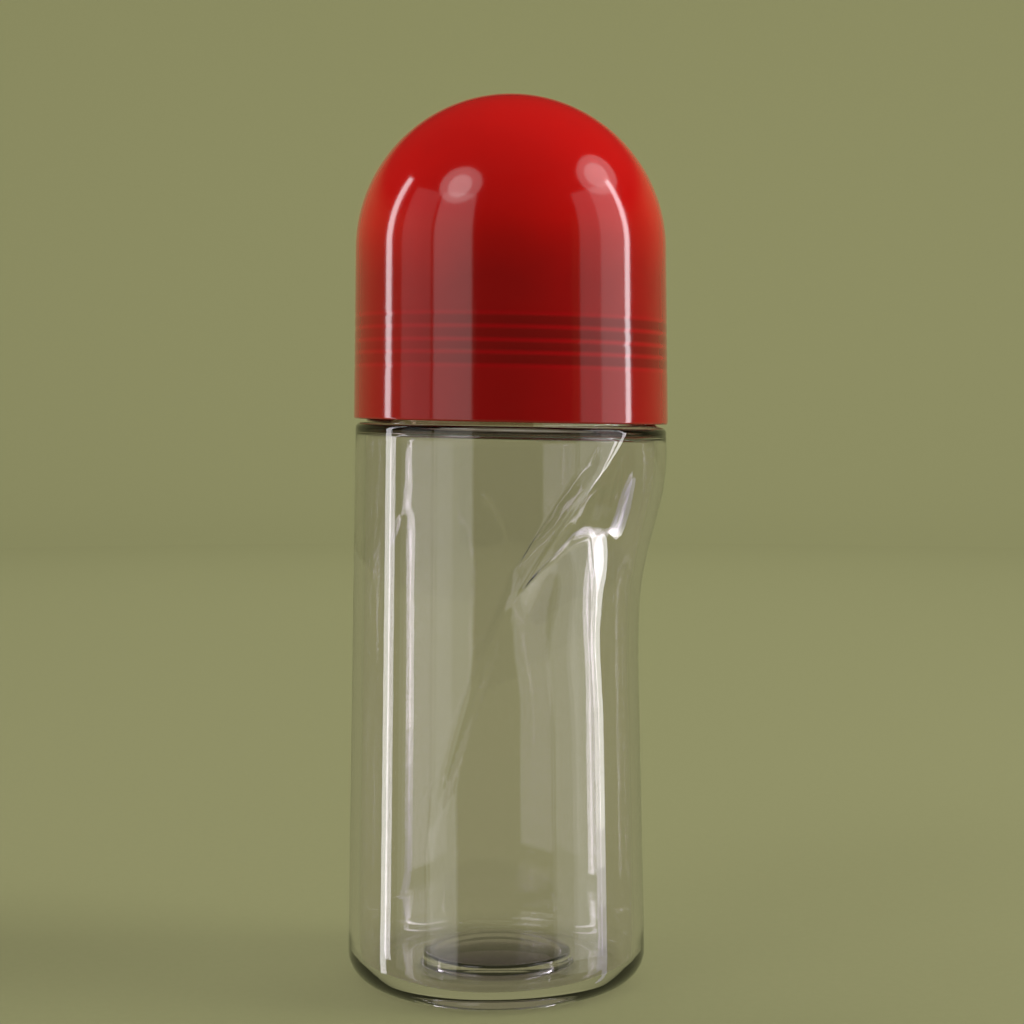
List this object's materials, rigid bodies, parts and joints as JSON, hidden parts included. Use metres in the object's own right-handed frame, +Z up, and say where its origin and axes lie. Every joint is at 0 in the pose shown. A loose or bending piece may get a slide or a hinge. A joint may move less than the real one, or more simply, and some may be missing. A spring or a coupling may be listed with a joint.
{
  "type": "roll-on bottle",
  "caption": "Clear roll-on bottle with a scooped side grip, a snap-in ball housing, a roller ball and a domed screw cap with an inner liner",
  "frame": {"origin": "on the axis of the cap and neck, in the plane of the base", "axes": "+Z up along the neck's axis, +X towards the scooped side, +Y towards the back"},
  "size_m": [0.0399, 0.0394, 0.1098],
  "materials": {
    "bottle_clear": "clear glossy moulded plastic",
    "housing_natural": "natural satin moulded plastic",
    "ball_white": "polished white ball",
    "liner_natural": "natural soft moulded plastic",
    "cap_red": "glossy moulded plastic with faint rings over the thread"
  },
  "bodies": {
    "bottle_body": {"bottle": "bottle_clear", "ball_housing": "housing_natural"},
    "roller_ball": {"roller_ball": "ball_white"},
    "cap_liner": {"cap_liner": "liner_natural"},
    "cap": {"cap": "cap_red"}
  },
  "joints": [
    {"name": "ball_roll", "type": "hinge", "parent": "bottle_body", "child": "roller_ball", "pos_m": [0, 0, 0.088], "axis": [1, 0, 0], "continuous": true},
    {"name": "cap_lift", "type": "slide", "parent": "bottle_body", "child": "cap_liner", "axis": [0, 0, 1], "range_m": [0, 0.045]},
    {"name": "cap_turn", "type": "hinge", "parent": "cap_liner", "child": "cap", "pos_m": [0, 0, 0.0906], "axis": [0, 0, 1], "range_deg": [0, 720]}
  ]
}
